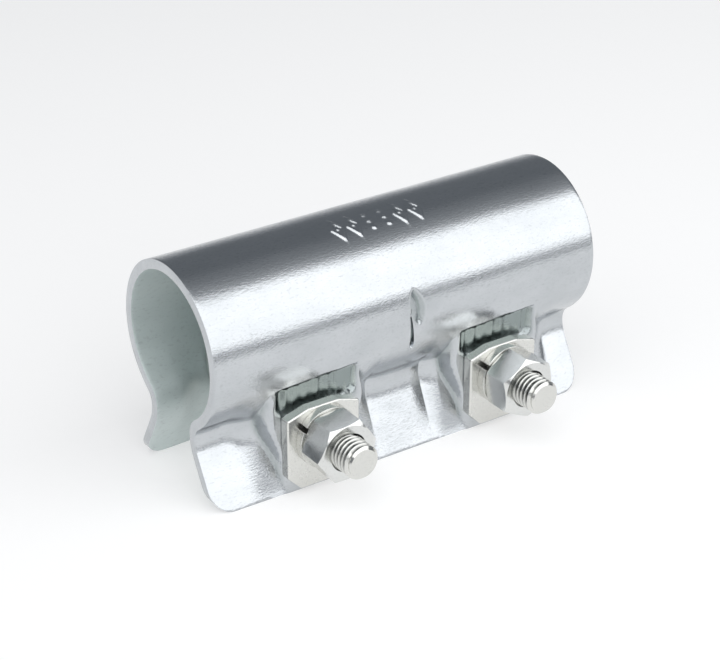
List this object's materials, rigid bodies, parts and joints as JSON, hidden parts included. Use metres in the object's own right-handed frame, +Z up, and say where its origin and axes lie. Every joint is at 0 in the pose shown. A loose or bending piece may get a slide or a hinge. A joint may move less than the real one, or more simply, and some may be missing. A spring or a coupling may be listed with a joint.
{
  "type": "scaffold sleeve coupler",
  "caption": "Pressed steel sleeve coupler that joins scaffold tubes end to end, closed by cup square bolts with plate washers, spring washers and hexagon nuts.",
  "frame": {"origin": "on the axis of the joined tubes, at the middle of the sleeve's length", "axes": "+X along the tubes, +Z up from the flanges to the crown, -Y towards the nuts"},
  "size_m": [0.147, 0.082, 0.0775],
  "materials": {
    "sleeve_zinc": "bright zinc plate on pressed steel sheet",
    "bolt_zinc": "bright zinc plate on forged steel",
    "plate_zinc": "bright zinc plate on sheared steel",
    "spring_zinc": "zinc plate on spring steel",
    "nut_zinc": "bright zinc plate on machined steel"
  },
  "bodies": {
    "sleeve": {"sleeve_shell": "sleeve_zinc", "bolt_left": "bolt_zinc", "bolt_right": "bolt_zinc"},
    "washers_left": {"plate_washer_left": "plate_zinc", "spring_washer_left": "spring_zinc"},
    "washers_right": {"plate_washer_right": "plate_zinc", "spring_washer_right": "spring_zinc"},
    "nut_left": {"nut_left": "nut_zinc"},
    "nut_right": {"nut_right": "nut_zinc"}
  },
  "joints": [
    {"name": "washer_slide_left", "type": "slide", "parent": "sleeve", "child": "washers_left", "axis": [0, -1, 0], "range_m": [0, 0.00788]},
    {"name": "washer_slide_right", "type": "slide", "parent": "sleeve", "child": "washers_right", "axis": [0, -1, 0], "range_m": [0, 0.00788]},
    {"name": "nut_spin_left", "type": "hinge", "parent": "washers_left", "child": "nut_left", "pos_m": [-0.0356, -0.0369, -0.0304], "axis": [0, -1, 0], "range_deg": [0, 1620]},
    {"name": "nut_spin_right", "type": "hinge", "parent": "washers_right", "child": "nut_right", "pos_m": [0.0356, -0.0369, -0.0304], "axis": [0, -1, 0], "range_deg": [0, 1620]}
  ],
  "couplings": [
    {"joint": "nut_spin_left", "follows": "washer_slide_left", "rad_per_m": 3590.4},
    {"joint": "nut_spin_right", "follows": "washer_slide_right", "rad_per_m": 3590.4}
  ]
}
